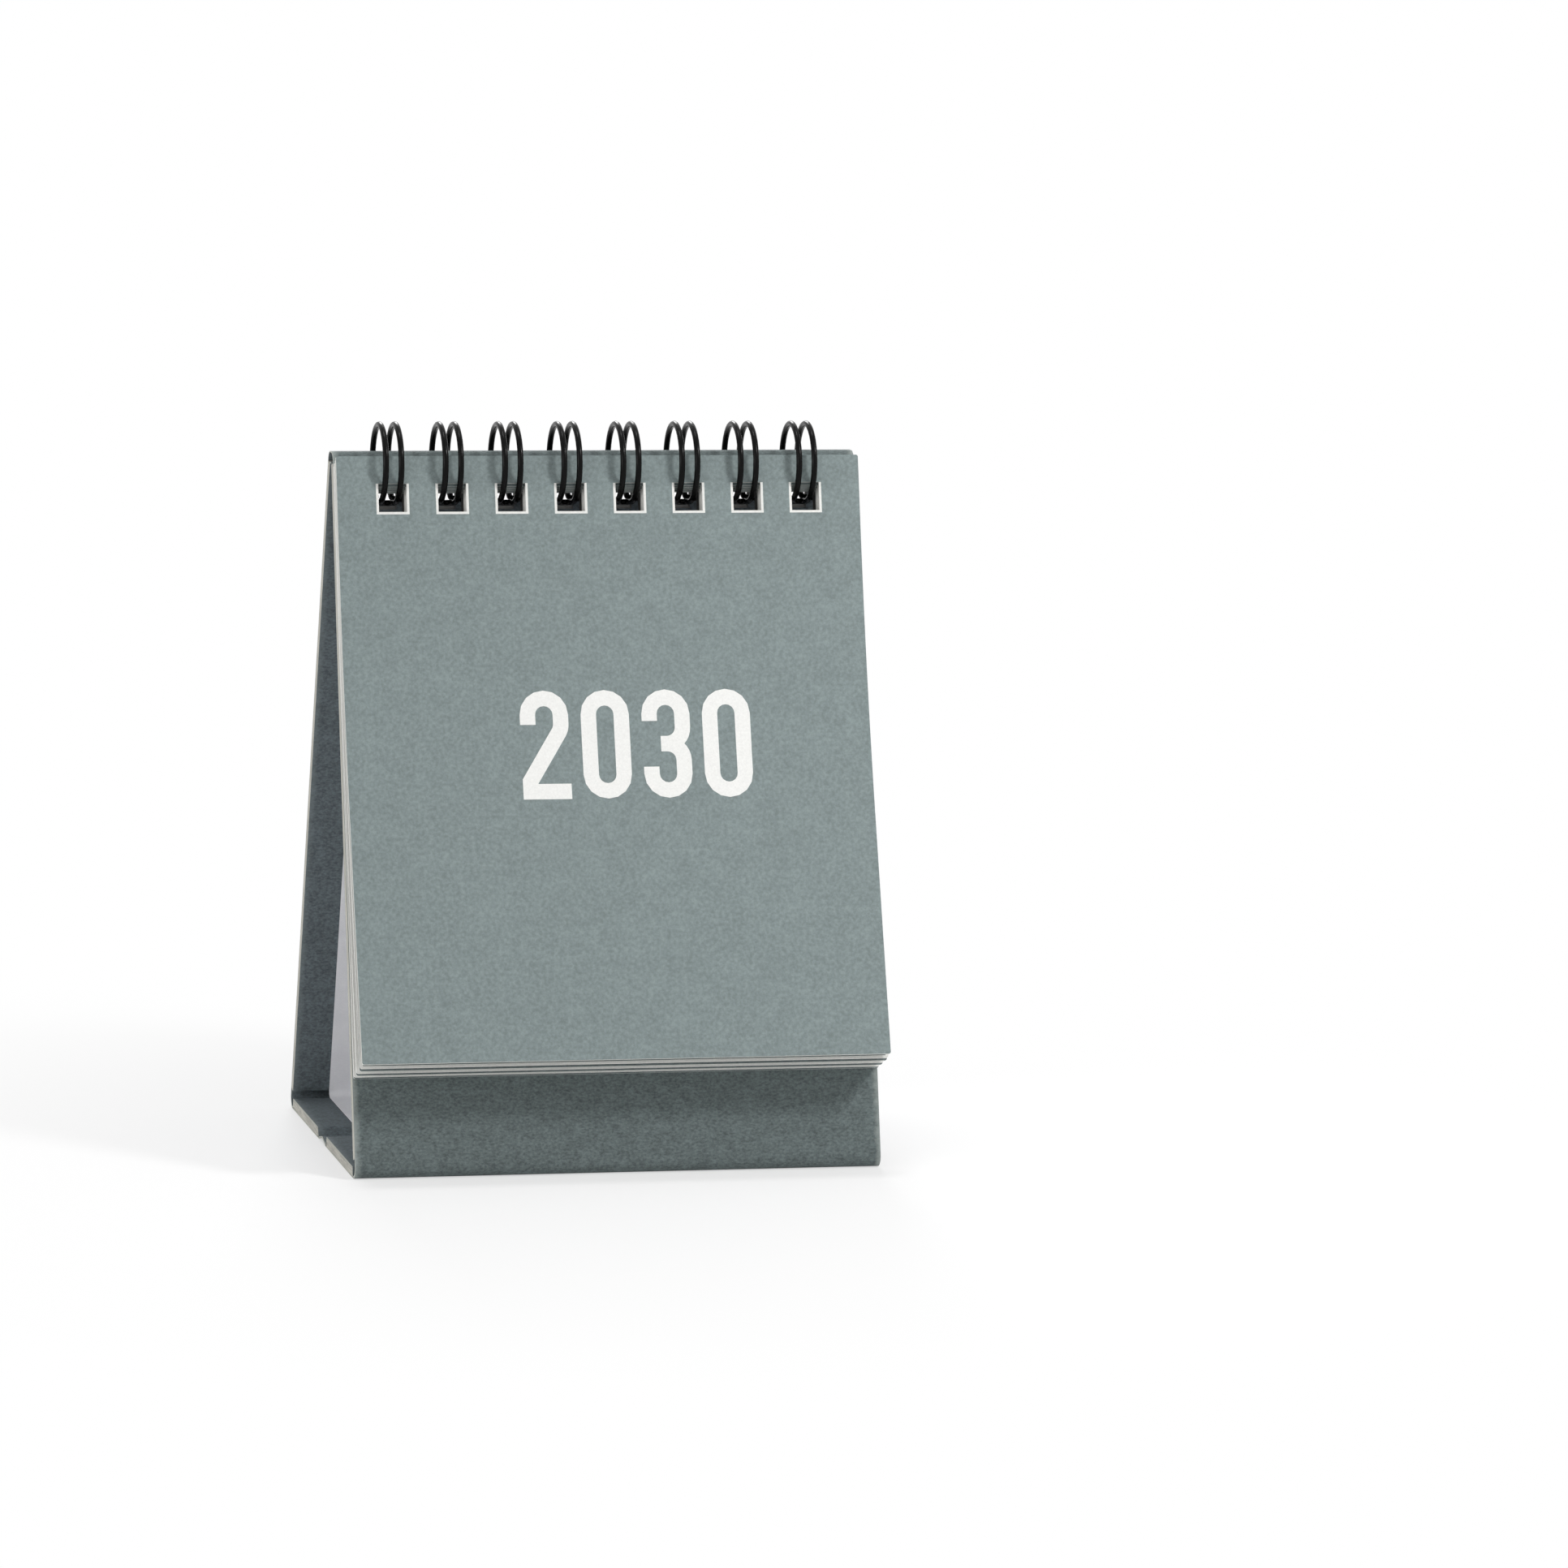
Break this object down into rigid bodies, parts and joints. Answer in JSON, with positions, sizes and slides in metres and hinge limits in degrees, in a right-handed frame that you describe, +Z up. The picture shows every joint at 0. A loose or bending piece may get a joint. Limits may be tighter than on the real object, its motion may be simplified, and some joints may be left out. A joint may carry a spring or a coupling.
{
  "type": "desk calendar",
  "caption": "Small flip calendar: card sheets on a black twin-loop wire over a paper-covered board easel that stands as a narrow A.",
  "frame": {"origin": "on the table, in the middle of the stand's footprint", "axes": "+X right along the wire, +Y away from the reader, +Z up"},
  "size_m": [0.075, 0.0596, 0.1029],
  "materials": {
    "wrap_paper": "matt grey-green uncoated wrap paper",
    "lining_paper": "matt darker grey-green lining paper",
    "greyboard": "raw cut greyboard edges",
    "black_wire": "satin black coated steel wire",
    "month_card": "matt white card",
    "cover_card": "matt grey-green printed card"
  },
  "bodies": {
    "stand": {"outer_wrap": "wrap_paper", "inner_lining": "lining_paper", "front_board": "greyboard", "back_board": "greyboard", "front_base_board": "greyboard", "rear_base_board": "greyboard", "twin_loop_wire": "black_wire", "month_sheets": "month_card"},
    "cover": {"cover_sheet": "cover_card"}
  },
  "joints": [
    {"name": "cover_turn", "type": "hinge", "parent": "stand", "child": "cover", "pos_m": [0, 0.0014, 0.09707], "axis": [1, 0, 0], "range_deg": [-160, 0]}
  ]
}
